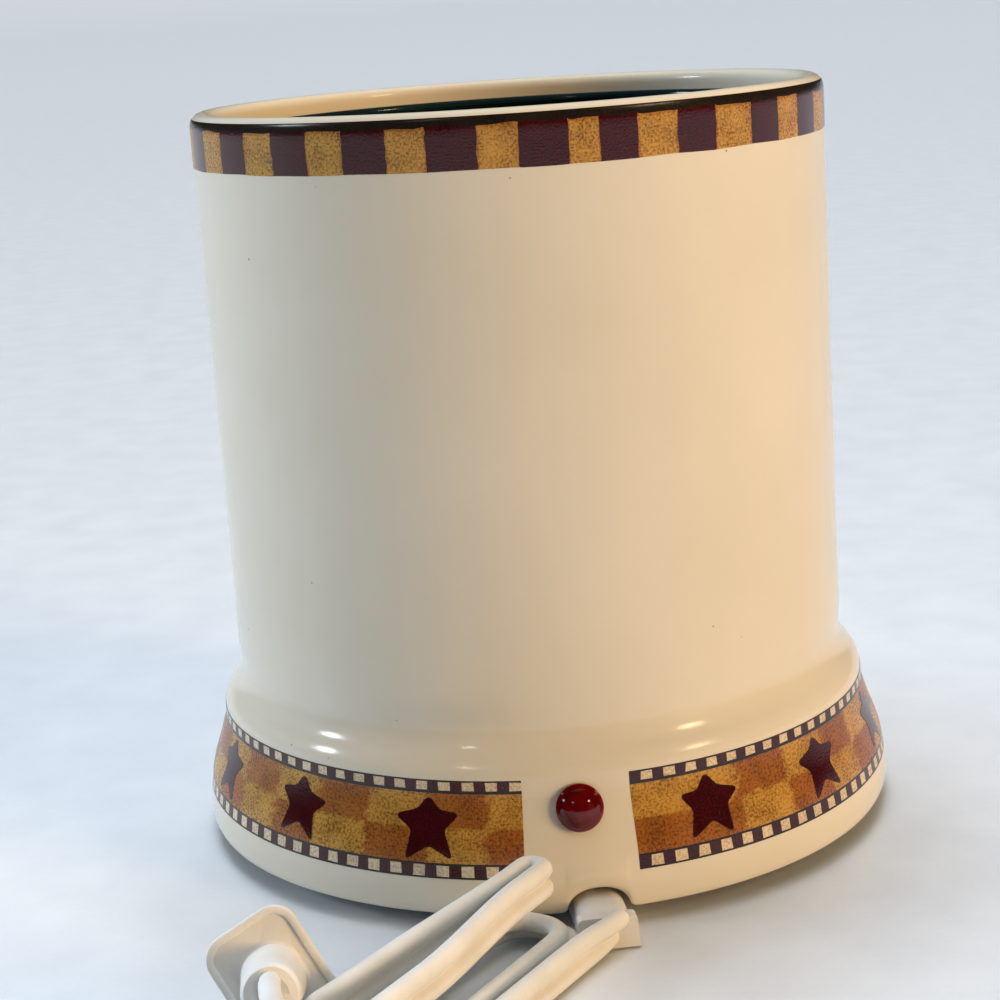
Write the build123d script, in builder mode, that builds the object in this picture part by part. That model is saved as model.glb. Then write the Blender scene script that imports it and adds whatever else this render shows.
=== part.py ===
from build123d import *
import math
import os

os.makedirs("parts", exist_ok=True)

# A tall ceramic crock that warms a jar candle from below.
# Millimetres, +Z up, origin on the table under the crock's centre, cord side towards -Y.

# Driving sizes of the crock
height = 159.8
cylinder_radius = 67.5
shoulder_radius = 71.7
flare_radius = 76.9
wall = 4.6
shell_lift = 3.5
cut_over = 2.0
slip_gap = 0.3
thread_gap = 0.05
half = 0.5
half_turn = 180


def around(radius, angle):
    """A place at that radius, turned by angle degrees from the cord side towards +X."""
    turn = math.radians(angle)
    return (radius * math.sin(turn), -radius * math.cos(turn))


def write(part, name):
    part.label = name
    export_step(part, "parts/" + name + ".step")


def disc(inner, outer, low, high):
    """A flat ring about the crock's axis, or a disc where inner is zero."""
    with BuildPart() as made:
        with BuildSketch(Plane.XY.offset(low)):
            Circle(outer)
            if inner > 0:
                Circle(inner, mode=Mode.SUBTRACT)
        extrude(amount=high - low)
    return made.part


# Ceramic shell: one glazed casting with an inner ledge, a rim, a shoulder and a flared skirt
rim_round = 2.2
bore_radius = cylinder_radius - wall
crease_z = 36.7
crease_round = 1.7
shoulder_fall = 0.5
shoulder_round = 3.2
shoulder_low_z = 27.8
flare_knee_z = 13.4
flare_knee_in = 0.7
flare_widest_z = 8.0
flare_round = 12.0
foot_in = 0.3
foot_round = 2.6
seat_rise = 3.3
seat_z = shell_lift + seat_rise
seat_recess_in = 6.0
skirt_inner_in = 8.5
skirt_draft = 1.3
ledge_top_z = 36.0
ledge_thick = 5.6
ledge_width = 10.9
ledge_round = 1.5
notch_half_width = 6.3
notch_rise = 4.8
lamp_turn = -1.9
lamp_z = 24.3
lamp_hole_radius = 4.0

seat_recess_radius = flare_radius - seat_recess_in
skirt_inner_radius = flare_radius - skirt_inner_in
ledge_inner_radius = bore_radius - ledge_width
ledge_low_z = ledge_top_z - ledge_thick
flare_slope = math.atan2(flare_radius - flare_knee_in - shoulder_radius, shoulder_low_z - flare_knee_z)
lamp_surface_radius = shoulder_radius + (shoulder_low_z - lamp_z) * math.tan(flare_slope)

shell_outline = [
    (bore_radius, height, rim_round),
    (cylinder_radius, height, rim_round),
    (cylinder_radius, crease_z, crease_round),
    (shoulder_radius, crease_z - shoulder_fall, shoulder_round),
    (shoulder_radius, shoulder_low_z, flare_round),
    (flare_radius - flare_knee_in, flare_knee_z, flare_round),
    (flare_radius, flare_widest_z, flare_round),
    (flare_radius - foot_in, shell_lift, foot_round),
    (seat_recess_radius, shell_lift, 0),
    (seat_recess_radius, seat_z, 0),
    (skirt_inner_radius, seat_z, 0),
    (skirt_inner_radius - skirt_draft, ledge_low_z, ledge_round),
    (ledge_inner_radius, ledge_low_z, ledge_round),
    (ledge_inner_radius, ledge_top_z, ledge_round),
    (bore_radius, ledge_top_z, ledge_round),
]

lamp_out = around(1, lamp_turn)
lamp_seat = Vector(*around(lamp_surface_radius, lamp_turn), lamp_z)
lamp_normal = Vector(
    lamp_out[0] * math.cos(flare_slope), lamp_out[1] * math.cos(flare_slope), math.sin(flare_slope)
)
lamp_across = Vector(-lamp_out[1], lamp_out[0], 0)
lamp_plane = Plane(origin=lamp_seat, x_dir=lamp_across, z_dir=lamp_normal)

with BuildPart() as ceramic_shell:
    with BuildSketch(Plane.XZ):
        with BuildLine():
            FilletPolyline(
                *[(radius, z) for radius, z, _ in shell_outline],
                radius=[corner for _, _, corner in shell_outline], close=True,
            )
        make_face()
    revolve(axis=Axis.Z)
    with BuildSketch(Plane.XZ.offset(skirt_inner_radius - wall)):
        with Locations((0, shell_lift)):
            Ellipse(notch_half_width, notch_rise)
    extrude(amount=flare_radius, mode=Mode.SUBTRACT)
    with BuildSketch(lamp_plane.offset(-skirt_inner_in - wall)):
        Circle(lamp_hole_radius)
    extrude(amount=skirt_inner_in + wall + cut_over, mode=Mode.SUBTRACT)
write(ceramic_shell.part, "ceramic_shell")

# Base cover: moulded disc in the skirt's recess, with a hub pocket, ribs, vents and a cord slot
cover_thick = 2.4
cover_vent_count = 12
cover_vent_width = 3.0
cover_vent_inner = 26.0
cover_vent_outer = 44.0
cover_rib_count = 8
cover_rib_thick = 1.6
cover_rib_tall = 3.0
cover_wall_thick = 1.8
cover_wall_tall = 4.0
hub_radius = 12.4
hub_pocket_radius = 10.0
hub_tall = 4.8
cover_edge_round = 0.6
cord_slot_half_width = 5.7
cord_slot_in = 5.4

cover_top_z = seat_z
cover_low_z = seat_z - cover_thick
cover_radius = seat_recess_radius - slip_gap
cover_wall_radius = skirt_inner_radius - skirt_draft - slip_gap
cord_slot_inner_radius = skirt_inner_radius - cord_slot_in
rib_step = half_turn * 2 / cover_rib_count

# Rubber feet: a domed disc with a barbed stem pushed through the cover
foot_radius = 7.0
foot_stem_radius = 2.4
foot_barb_radius = 3.4
foot_barb_tall = 2.6
foot_barb_taper = 15.0
foot_edge_round = 1.2
foot_place_in = 14.9
foot_count = 4
foot_place_radius = seat_recess_radius - foot_place_in
foot_turns = [rib_step * (place * 2 + 1) for place in range(foot_count)]
foot_hole_radius = foot_stem_radius + thread_gap

# Centre stud and its nuts and washers, clamping the heater from above and the cover from below
stud_radius = 2.5
nut_radius = 4.6
nut_thick = 4.0
nut_sides = 6
washer_radius = 5.4
washer_thick = 0.8
stud_end = 1.2

with BuildPart() as base_cover:
    with BuildSketch(Plane.XY.offset(cover_low_z)):
        Circle(cover_radius)
    extrude(amount=cover_thick)
    fillet(base_cover.faces().sort_by(Axis.Z)[0].edges(), cover_edge_round)
    with BuildSketch(Plane.XY.offset(cover_top_z)):
        Circle(cover_wall_radius)
        Circle(cover_wall_radius - cover_wall_thick, mode=Mode.SUBTRACT)
    extrude(amount=cover_wall_tall)
    with BuildSketch(Plane.XY.offset(cover_top_z)):
        with PolarLocations(0, cover_rib_count, start_angle=rib_step * half):
            with Locations((cover_wall_radius * half, 0)):
                Rectangle(cover_wall_radius - cover_wall_thick * half, cover_rib_thick)
    extrude(amount=cover_rib_tall)
    with BuildSketch(Plane.XY.offset(cover_top_z)):
        Circle(hub_radius)
    extrude(amount=hub_tall)
    with BuildSketch(Plane.XY.offset(cover_low_z)):
        Circle(hub_pocket_radius)
    extrude(amount=hub_tall, mode=Mode.SUBTRACT)
    with BuildSketch(Plane.XY.offset(cover_low_z)):
        Circle(stud_radius + thread_gap)
        with PolarLocations(foot_place_radius, foot_count, start_angle=rib_step):
            Circle(foot_hole_radius)
        with PolarLocations((cover_vent_inner + cover_vent_outer) * half, cover_vent_count):
            SlotOverall(cover_vent_outer - cover_vent_inner, cover_vent_width)
        with Locations((0, -(cover_radius + cord_slot_inner_radius) * half - cover_edge_round)):
            Rectangle(cord_slot_half_width * 2, cover_radius - cord_slot_inner_radius + cover_edge_round * 2)
    extrude(amount=height * half, mode=Mode.SUBTRACT)
write(base_cover.part, "base_cover")

for number, turn in enumerate(foot_turns, start=1):
    with BuildPart() as rubber_foot:
        with BuildSketch(Plane.XY):
            with Locations(around(foot_place_radius, turn)):
                Circle(foot_radius)
        extrude(amount=cover_low_z)
        fillet(rubber_foot.faces().sort_by(Axis.Z)[0].edges(), foot_edge_round)
        with BuildSketch(Plane.XY.offset(cover_low_z)):
            with Locations(around(foot_place_radius, turn)):
                Circle(foot_stem_radius)
        extrude(amount=cover_thick)
        with BuildSketch(Plane.XY.offset(cover_top_z)):
            with Locations(around(foot_place_radius, turn)):
                Circle(foot_barb_radius)
        extrude(amount=foot_barb_tall, taper=foot_barb_taper)
    write(rubber_foot.part, "rubber_foot_" + str(number))

# Heater stack on the ledge: gasket, plate, mica, ribbon, mica, pad and clamping pan
gasket_thick = 1.0
gasket_margin = 1.8
plate_thick = 3.0
plate_margin = 2.0
plate_edge_chamfer = 0.6
boss_radius = 9.0
boss_tall = 3.0
tapped_depth = 4.5
mica_radius = 46.0
mica_thick = 0.5
ribbon_thick = 0.4
ribbon_width = 3.0
ribbon_outer_radius = 39.0
ribbon_middle_radius = 33.0
ribbon_inner_radius = 27.0
ribbon_end_turn = 15.0
ribbon_return_turn = 32.0
pad_thick = 3.0
pan_radius = 48.5
pan_thick = 0.8
pan_wall_tall = 2.4
pan_round = 1.0

gasket_top_z = ledge_top_z + gasket_thick
plate_radius = bore_radius - plate_margin
plate_top_z = gasket_top_z + plate_thick
boss_low_z = gasket_top_z - boss_tall
mica_hole_radius = boss_radius + slip_gap
upper_mica_low_z = gasket_top_z - mica_thick
ribbon_low_z = upper_mica_low_z - ribbon_thick
lower_mica_low_z = ribbon_low_z - mica_thick
pad_low_z = lower_mica_low_z - pad_thick
pan_low_z = pad_low_z - pan_thick
terminal_place = [
    (ribbon_inner_radius * math.sin(math.radians(side * ribbon_end_turn)),
     ribbon_inner_radius * math.cos(math.radians(side * ribbon_end_turn)))
    for side in (-1, 1)
]
terminal_pin_radius = 1.5
terminal_head_radius = 2.4
terminal_head_thick = 1.0
terminal_tail = 3.4
bead_radius = 2.6
bead_tall = 1.6

gasket_inner_radius = ledge_inner_radius + gasket_margin
plate_gasket = disc(gasket_inner_radius, bore_radius - gasket_margin, ledge_top_z, gasket_top_z)
write(plate_gasket, "plate_gasket")

with BuildPart() as heater_plate:
    with BuildSketch(Plane.XY.offset(gasket_top_z)):
        Circle(plate_radius)
    extrude(amount=plate_thick)
    chamfer(heater_plate.faces().sort_by(Axis.Z)[-1].edges(), plate_edge_chamfer)
    with BuildSketch(Plane.XY.offset(boss_low_z)):
        Circle(boss_radius)
    extrude(amount=boss_tall)
    with BuildSketch(Plane.XY.offset(boss_low_z)):
        Circle(stud_radius + thread_gap)
    extrude(amount=tapped_depth, mode=Mode.SUBTRACT)
write(heater_plate.part, "heater_plate")

upper_mica = disc(mica_hole_radius, mica_radius, upper_mica_low_z, gasket_top_z)
write(upper_mica, "upper_mica")


def ribbon_point(radius, turn):
    """A place on the ribbon, turned by degrees from +Y towards +X."""
    return (radius * math.sin(math.radians(turn)), radius * math.cos(math.radians(turn)))


ribbon_corners = [
    (ribbon_inner_radius, ribbon_end_turn), (ribbon_outer_radius, ribbon_end_turn),
    (ribbon_outer_radius, -ribbon_end_turn), (ribbon_middle_radius, -ribbon_end_turn),
    (ribbon_middle_radius, ribbon_return_turn), (ribbon_inner_radius, ribbon_return_turn),
    (ribbon_inner_radius, -ribbon_end_turn),
]

with BuildPart() as heating_ribbon:
    with BuildSketch(Plane.XY.offset(ribbon_low_z)):
        with BuildLine():
            for start, end in zip(ribbon_corners[::2], ribbon_corners[1::2]):
                Line(ribbon_point(*start), ribbon_point(*end))
            for start, end in zip(ribbon_corners[1::2], ribbon_corners[2::2]):
                ThreePointArc(ribbon_point(*start), ribbon_point(start[0], half_turn), ribbon_point(*end))
        trace(line_width=ribbon_width)
        with Locations(*terminal_place):
            Circle(terminal_head_radius)
    extrude(amount=ribbon_thick)
write(heating_ribbon.part, "heating_ribbon")


def pierced(plain, low, high, hole_radius):
    """The sheet with its two terminal holes."""
    with BuildPart() as made:
        add(plain)
        with BuildSketch(Plane.XY.offset(low)):
            with Locations(*terminal_place):
                Circle(hole_radius)
        extrude(amount=high - low, mode=Mode.SUBTRACT)
    return made.part


pin_hole_radius = terminal_pin_radius + thread_gap
bead_hole_radius = bead_radius + thread_gap
lower_mica_plain = disc(mica_hole_radius, mica_radius, lower_mica_low_z, ribbon_low_z)
lower_mica = pierced(lower_mica_plain, lower_mica_low_z, ribbon_low_z, pin_hole_radius)
write(lower_mica, "lower_mica")
pad_plain = disc(mica_hole_radius, mica_radius, pad_low_z, lower_mica_low_z)
insulation_pad = pierced(pad_plain, pad_low_z, lower_mica_low_z, pin_hole_radius)
write(insulation_pad, "insulation_pad")

with BuildPart() as clamp_pan:
    with BuildSketch(Plane.XY.offset(pan_low_z)):
        Circle(pan_radius)
    extrude(amount=pan_thick + pan_wall_tall)
    fillet(clamp_pan.faces().sort_by(Axis.Z)[0].edges(), pan_round)
    with BuildSketch(Plane.XY.offset(pad_low_z)):
        Circle(pan_radius - pan_thick)
    extrude(amount=pan_wall_tall, mode=Mode.SUBTRACT)
    with BuildSketch(Plane.XY.offset(pan_low_z)):
        Circle(stud_radius + thread_gap)
        with Locations(*terminal_place):
            Circle(bead_hole_radius)
    extrude(amount=pan_thick, mode=Mode.SUBTRACT)
write(clamp_pan.part, "clamp_pan")

with BuildPart() as terminal_beads:
    with BuildSketch(Plane.XY.offset(pad_low_z - pan_thick - bead_tall)):
        with Locations(*terminal_place):
            Circle(bead_radius)
            Circle(pin_hole_radius, mode=Mode.SUBTRACT)
    extrude(amount=pan_thick + bead_tall)
write(terminal_beads.part, "terminal_beads")

bead_low_z = pan_low_z - bead_tall
terminal_low_z = bead_low_z - terminal_tail
with BuildPart() as terminal_pins:
    with BuildSketch(Plane.XY.offset(terminal_low_z)):
        with Locations(*terminal_place):
            Circle(terminal_pin_radius)
    extrude(amount=ribbon_low_z - terminal_low_z)
    with BuildSketch(Plane.XY.offset(bead_low_z - terminal_head_thick)):
        with Locations(*terminal_place):
            Circle(terminal_head_radius)
    extrude(amount=terminal_head_thick)
write(terminal_pins.part, "terminal_pins")

pan_washer_low_z = pan_low_z - washer_thick
pan_nut_low_z = pan_washer_low_z - nut_thick
cover_washer_low_z = cover_low_z + hub_tall - washer_thick
cover_nut_low_z = cover_washer_low_z - nut_thick
stud_low_z = cover_nut_low_z - stud_end
with BuildPart() as centre_stud:
    with BuildSketch(Plane.XY.offset(stud_low_z)):
        Circle(stud_radius)
    extrude(amount=boss_low_z + tapped_depth - thread_gap - stud_low_z)
    chamfer(centre_stud.faces().sort_by(Axis.Z)[0].edges(), stud_end * half)
write(centre_stud.part, "centre_stud")

with BuildPart() as stud_washers:
    for low in (pan_washer_low_z, cover_washer_low_z):
        with BuildSketch(Plane.XY.offset(low)):
            Circle(washer_radius)
            Circle(stud_radius + thread_gap, mode=Mode.SUBTRACT)
        extrude(amount=washer_thick)
write(stud_washers.part, "stud_washers")

with BuildPart() as stud_nuts:
    for low in (pan_nut_low_z, cover_nut_low_z):
        with BuildSketch(Plane.XY.offset(low)):
            RegularPolygon(nut_radius, nut_sides)
            Circle(stud_radius + thread_gap, mode=Mode.SUBTRACT)
        extrude(amount=nut_thick)
write(stud_nuts.part, "stud_nuts")

# Inner cup: thin spun cup with a rolled lip, standing on the heater plate and lifting straight out
cup_gap = 0.5
cup_wall = 1.2
cup_lift = 0.3
cup_below_rim = 4.1
cup_corner_round = 6.0
cup_lip_radius = 1.2

cup_radius = bore_radius - cup_gap
cup_low_z = plate_top_z + cup_lift
cup_floor_z = cup_low_z + cup_wall
cup_top_z = height - cup_below_rim
with BuildPart() as inner_cup:
    with BuildSketch(Plane.XZ) as cup_profile:
        with BuildLine():
            Polyline(
                (0, cup_low_z), (cup_radius, cup_low_z), (cup_radius, cup_top_z - cup_lip_radius),
                (cup_radius - cup_wall, cup_top_z - cup_lip_radius), (cup_radius - cup_wall, cup_floor_z),
                (0, cup_floor_z), close=True,
            )
        make_face()
        fillet(cup_profile.vertices().group_by(Axis.Y)[0].sort_by(Axis.X)[-1], cup_corner_round + cup_wall)
        fillet(cup_profile.vertices().group_by(Axis.Y)[1].sort_by(Axis.X)[-1], cup_corner_round)
        with Locations((cup_radius - cup_lip_radius, cup_top_z - cup_lip_radius)):
            Circle(cup_lip_radius)
    revolve(axis=Axis.Z)
write(inner_cup.part, "inner_cup")

# Pilot lamp: red jewel through the skirt, a glass bulb in it, a push-on ring and a resistor behind
lens_flange_radius = 4.75
lens_flange_thick = 1.0
lens_dome_radius = 4.0
lens_dome_rise = 1.9
lens_barrel_radius = 3.7
lens_barrel_long = 12.0
lens_bore_radius = 2.8
lens_seat_gap = 0.4
lens_ring_radius = 6.0
lens_ring_thick = 0.6
lens_ring_depth = 7.4
bulb_radius = 2.5
bulb_long = 11.0
bulb_end_gap = 0.4
resistor_radius = 1.3
resistor_long = 8.0
lamp_lead_apart = 1.4
lamp_lead_straight = 4.0

lens_ball_radius = (lens_dome_radius**2 + lens_dome_rise**2) / (lens_dome_rise * 2)
lens_dome_turn = math.asin(lens_dome_radius / lens_ball_radius) * half
lens_dome_middle = (
    lens_ball_radius * math.sin(lens_dome_turn),
    lens_ball_radius * (1 - math.cos(lens_dome_turn)) - lens_flange_thick - lens_dome_rise,
)
lens_side_plane = Plane(
    origin=lamp_seat + lamp_normal * lens_seat_gap, x_dir=lamp_across, z_dir=lamp_normal.cross(lamp_across)
)

with BuildPart() as pilot_lens:
    with BuildSketch(lens_side_plane):
        with BuildLine():
            Polyline(
                (0, -(lens_flange_thick + lens_dome_rise)), (0, lens_barrel_long),
                (lens_barrel_radius, lens_barrel_long), (lens_barrel_radius, 0), (lens_flange_radius, 0),
                (lens_flange_radius, -lens_flange_thick), (lens_dome_radius, -lens_flange_thick),
            )
            ThreePointArc(
                (lens_dome_radius, -lens_flange_thick), lens_dome_middle,
                (0, -(lens_flange_thick + lens_dome_rise)),
            )
        make_face()
    revolve(axis=Axis(lamp_seat, lamp_normal))
    with BuildSketch(lamp_plane.offset(lens_seat_gap - lens_barrel_long)):
        Circle(lens_bore_radius)
    extrude(amount=lens_barrel_long - bulb_end_gap, mode=Mode.SUBTRACT)
write(pilot_lens.part, "pilot_lens")

with BuildPart() as lens_ring:
    with BuildSketch(lamp_plane.offset(-lens_ring_depth - lens_ring_thick)):
        Circle(lens_ring_radius)
        Circle(lens_barrel_radius + thread_gap, mode=Mode.SUBTRACT)
    extrude(amount=lens_ring_thick)
write(lens_ring.part, "lens_ring")

bulb_back = bulb_end_gap * 2 + bulb_long
with BuildPart() as pilot_bulb:
    with BuildSketch(lamp_plane.offset(-bulb_back)):
        Circle(bulb_radius)
    extrude(amount=bulb_long)
    fillet(pilot_bulb.faces().sort_by(Axis(lamp_seat, lamp_normal))[-1].edges(), bulb_radius * half)
write(pilot_bulb.part, "pilot_bulb")

with BuildPart() as lamp_resistor:
    with BuildSketch(lamp_plane.offset(-bulb_back - resistor_long)):
        with Locations((lamp_lead_apart, 0)):
            Circle(resistor_radius)
    extrude(amount=resistor_long)
write(lamp_resistor.part, "lamp_resistor")

# Strain relief: white moulded block through the notch, its flange in front and its lock inside
relief_face_out = 10.1
relief_flange_thick = 2.8
relief_flange_half_width = 5.7
relief_flange_low_z = 0.5
relief_flange_top_z = 7.0
relief_flange_splay = 0.5
relief_flange_round = 1.0
relief_neck_half_width = 5.1
relief_neck_low_z = 0.6
relief_neck_top_z = 6.9
relief_neck_round = 3.2
relief_lock_tall = 4.0
relief_lock_thick = 2.4
relief_inner_in = 4.4

relief_face_y = -flare_radius - relief_face_out
relief_inner_y = relief_inner_in - skirt_inner_radius

with BuildPart() as strain_relief:
    with BuildSketch(Plane.XZ.offset(-relief_inner_y)):
        with BuildLine():
            FilletPolyline(
                (-relief_neck_half_width, relief_neck_low_z), (relief_neck_half_width, relief_neck_low_z),
                (relief_neck_half_width, relief_neck_top_z), (-relief_neck_half_width, relief_neck_top_z),
                radius=[0, 0, relief_neck_round, relief_neck_round], close=True,
            )
        make_face()
    extrude(amount=relief_inner_y - relief_face_y - relief_flange_thick)
    with BuildSketch(Plane.XZ.offset(-relief_face_y - relief_flange_thick)):
        with BuildLine():
            FilletPolyline(
                (-relief_flange_half_width - relief_flange_splay, relief_flange_low_z),
                (relief_flange_half_width + relief_flange_splay, relief_flange_low_z),
                (relief_flange_half_width, relief_flange_top_z),
                (-relief_flange_half_width, relief_flange_top_z),
                radius=[0, 0, relief_flange_round, relief_flange_round], close=True,
            )
        make_face()
    extrude(amount=relief_flange_thick)
    with BuildSketch(Plane.XZ.offset(-relief_inner_y)):
        with Locations((0, relief_neck_top_z)):
            Rectangle(relief_neck_half_width * 2, relief_lock_tall * 2)
    extrude(amount=relief_lock_thick)
write(strain_relief.part, "strain_relief")

# Flat cord: two conductors side by side, lying on edge, so that its groove shows along its side
cord_tall = 7.6
cord_wide = 3.8
cord_web = 2.6
lobe_radius = cord_wide * half
lobe_apart = cord_tall - cord_wide
upright = Vector(0, 0, 1)
ease_share = 0.45


def flat_cord(name, path):
    """The flat cord swept on edge along a path, with its volume and its bends checked in print."""
    ahead = path % 0
    with BuildPart() as made:
        with BuildSketch(Plane(origin=path @ 0, x_dir=ahead.cross(upright), z_dir=ahead)) as section:
            with Locations((0, lobe_apart * half), (0, -lobe_apart * half)):
                Circle(lobe_radius)
            Rectangle(cord_web, lobe_apart)
        sweep(path=path)
    bends = [edge.radius for edge in path.edges().filter_by(GeomType.CIRCLE)]
    volume_share = made.part.volume / (section.sketch.area * path.length)
    print(name, "length", round(path.length, 1), "volume share", round(volume_share, 4))
    print(name, "radii", [round(bend, 1) for bend in bends])
    return made.part


def eased(route):
    """One radius for each corner of a route, as large as its shorter run allows."""
    corners = []
    for before, here, after in zip(route, route[1:], route[2:]):
        first = Vector(*here) - Vector(*before)
        second = Vector(*after) - Vector(*here)
        turn = math.radians(first.get_angle(second))
        corners.append(ease_share * min(first.length, second.length) / math.tan(turn * half))
    return corners


# Inner wiring: splices on the cover, a thermal fuse clipped under the pan, and the leads between them
splice_radius = 2.6
splice_long = 14.0
splice_inner_in = 26.0
splice_x = 9.0
splice_inner_y = relief_inner_y + splice_inner_in
splice_z = cover_top_z + splice_radius + thread_gap
splice_lead_apart = 1.3
supply_wire_radius = 1.2
supply_wire_x = 2.2
supply_wire_z = 9.4
lead_radius = 1.0
lamp_lead_radius = 0.6
fuse_radius = 2.0
fuse_long = 12.0
fuse_x = 16.0
fuse_low_y = -2.0
fuse_z = pan_low_z - fuse_radius - thread_gap
clip_thick = 0.5
clip_wide = 5.0
clip_foot = 3.0
terminal_x, terminal_y = terminal_place[1]


def lead(name, route, radius):
    """A round insulated lead along its route."""
    with BuildLine() as lead_line:
        FilletPolyline(*route, radius=eased(route))
    path = Wire(lead_line.edges())
    with BuildPart() as made:
        with BuildSketch(Plane(origin=path @ 0, z_dir=path % 0)):
            Circle(radius)
        sweep(path=path)
    write(made.part, name)


with BuildPart() as wire_splices:
    with BuildSketch(Plane.XZ.offset(-splice_inner_y)):
        with Locations((-splice_x, splice_z), (splice_x, splice_z)):
            Circle(splice_radius)
    extrude(amount=splice_long)
write(wire_splices.part, "wire_splices")

with BuildPart() as thermal_fuse:
    with BuildSketch(Plane.XZ.offset(-fuse_low_y - fuse_long)):
        with Locations((fuse_x, fuse_z)):
            Circle(fuse_radius)
    extrude(amount=fuse_long)
    chamfer(thermal_fuse.faces().sort_by(Axis.Y)[0].edges(), fuse_radius * half)
write(thermal_fuse.part, "thermal_fuse")

with BuildPart() as fuse_clip:
    with BuildSketch(Plane.XZ.offset(-fuse_low_y - (fuse_long + clip_wide) * half)):
        with Locations((fuse_x, fuse_z)):
            Circle(fuse_radius + thread_gap + clip_thick)
        with Locations((fuse_x, fuse_z + fuse_radius * half)):
            Rectangle((fuse_radius + thread_gap + clip_thick) * 2, fuse_radius + thread_gap * 2)
        with Locations((fuse_x, pan_low_z - clip_thick * half)):
            Rectangle((fuse_radius + clip_foot) * 2, clip_thick)
        with Locations((fuse_x, fuse_z)):
            Circle(fuse_radius + thread_gap, mode=Mode.SUBTRACT)
        with Locations((fuse_x, fuse_z + fuse_radius)):
            Rectangle((fuse_radius + thread_gap) * 2, fuse_radius * 2, mode=Mode.SUBTRACT)
        with Locations((fuse_x, pan_low_z + clip_foot * half)):
            Rectangle((fuse_radius + clip_foot) * 2, clip_foot, mode=Mode.SUBTRACT)
    extrude(amount=clip_wide)
write(fuse_clip.part, "fuse_clip")

for name, side in (("supply_wire_1", 1), ("supply_wire_2", -1)):
    lead(name, [
        (side * supply_wire_x, relief_inner_y, supply_wire_z),
        (side * supply_wire_x, relief_inner_y + 3.5, supply_wire_z),
        (side * splice_x, relief_inner_y + 8.0, splice_z),
        (side * splice_x, splice_inner_y - splice_long, splice_z),
    ], supply_wire_radius)

outer_lead_x = splice_x + splice_lead_apart
lead("fuse_lead_1", [
    (outer_lead_x, splice_inner_y, splice_z), (outer_lead_x, splice_inner_y + 5.0, splice_z),
    (12.0, -22.0, 14.0),
    (14.5, -12.0, 24.0), (fuse_x, -6.5, fuse_z), (fuse_x, fuse_low_y, fuse_z),
], lead_radius)
lead("fuse_lead_2", [
    (fuse_x, fuse_low_y + fuse_long, fuse_z), (fuse_x, 14.0, fuse_z), (14.0, 20.0, 26.0), (9.8, 24.6, 22.6),
    (terminal_x, terminal_y, 23.0), (terminal_x, terminal_y, terminal_low_z),
], lead_radius)
lead("element_lead", [
    (-outer_lead_x, splice_inner_y, splice_z), (-outer_lead_x, splice_inner_y + 5.0, splice_z),
    (-11.5, splice_inner_y + 14.0, 13.2),
    (-13.0, -5.0, 17.0), (-12.0, 14.0, 19.0), (-9.0, 23.0, 20.6), (-terminal_x, terminal_y, 23.0),
    (-terminal_x, terminal_y, terminal_low_z),
], lead_radius)

inner_lead_x = splice_x - splice_lead_apart
for name, side, depth in (("lamp_lead_1", -1, bulb_back), ("lamp_lead_2", 1, bulb_back + resistor_long)):
    start = lamp_seat - lamp_normal * depth + lamp_across * (side * lamp_lead_apart)
    lead(name, [
        tuple(start), tuple(start - lamp_normal * lamp_lead_straight),
        (side * 5.0, splice_inner_y - 3.0, 16.2), (side * 7.4, splice_inner_y + 6.0, 15.0),
        (side * inner_lead_x, splice_inner_y + 10.5, 13.0), (side * inner_lead_x, splice_inner_y + 10.5, 10.8),
        (side * inner_lead_x, splice_inner_y + 6.5, splice_z), (side * inner_lead_x, splice_inner_y, splice_z),
    ], lamp_lead_radius)

# The hank lies along its own heading: u runs out from the skirt's edge, v runs across, both in plan
hank_heading = 52.3
hank_out = Vector(-math.cos(math.radians(hank_heading)), -math.sin(math.radians(hank_heading)), 0)
hank_across = Vector(math.sin(math.radians(hank_heading)), -math.cos(math.radians(hank_heading)), 0)


def on_hank(u, v, z):
    """A place in the hank's own axes."""
    return hank_out * (flare_radius + u) + hank_across * v + upright * z


# Each half turn: where along the hank, the run coming in, the run going out, and how high
low_z = 4.1
far_low_z = 4.6
far_high_z = 12.7
near_high_z = 16.0
far_u = 108.1
near_u = 2.4
inner_near_u = 60.0
high_near_u = -0.4
run_1_v = 52.9
run_2_v = 32.4
run_3_v = 48.8
run_4_v = 36.9
run_5_v = 44.6
run_6_far_v = 36.0
run_6_middle = (48.0, 44.6, 14.2)
run_6_near_v = 43.5
run_7_near_v = 39.2
run_7_far_v = 31.9
hank_start = (20.1, run_1_v, low_z)
hank_turns = [
    (far_u, run_1_v, run_2_v, far_low_z),
    (near_u, run_2_v, run_3_v, low_z),
    (far_u, run_3_v, run_4_v, far_low_z),
    (inner_near_u, run_4_v, run_5_v, low_z),
    (far_u, run_5_v, run_6_far_v, far_high_z),
    (run_6_middle[0], run_6_middle[1], None, run_6_middle[2]),
    (high_near_u, run_6_near_v, run_7_near_v, near_high_z),
]
hank_end = (37.1, run_7_far_v, 12.9)

with BuildLine() as hank_path:
    place = on_hank(*hank_start)
    heading = hank_out
    for turn_u, v_in, v_out, turn_z in hank_turns + [(hank_end[0], hank_end[1], None, hank_end[2])]:
        entry = on_hank(turn_u, v_in, turn_z)
        if abs((entry - place).cross(heading).length) < thread_gap:
            Line(place, entry)
        else:
            middle = (place + entry) * half
            ease = TangentArc(place, middle, tangent=heading)
            TangentArc(middle, entry, tangent=ease % 1)
        place = entry
        if v_out is not None:
            side = math.copysign(1, heading.dot(hank_out))
            reach = abs(v_in - v_out) * half * side
            place = on_hank(turn_u, v_out, turn_z)
            ThreePointArc(entry, on_hank(turn_u + reach, (v_in + v_out) * half, turn_z), place)
            heading = heading * -1
hank_wire = Wire(hank_path.edges())
cord_hank = flat_cord("cord_hank", hank_wire)
write(cord_hank, "cord_hank")

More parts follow.
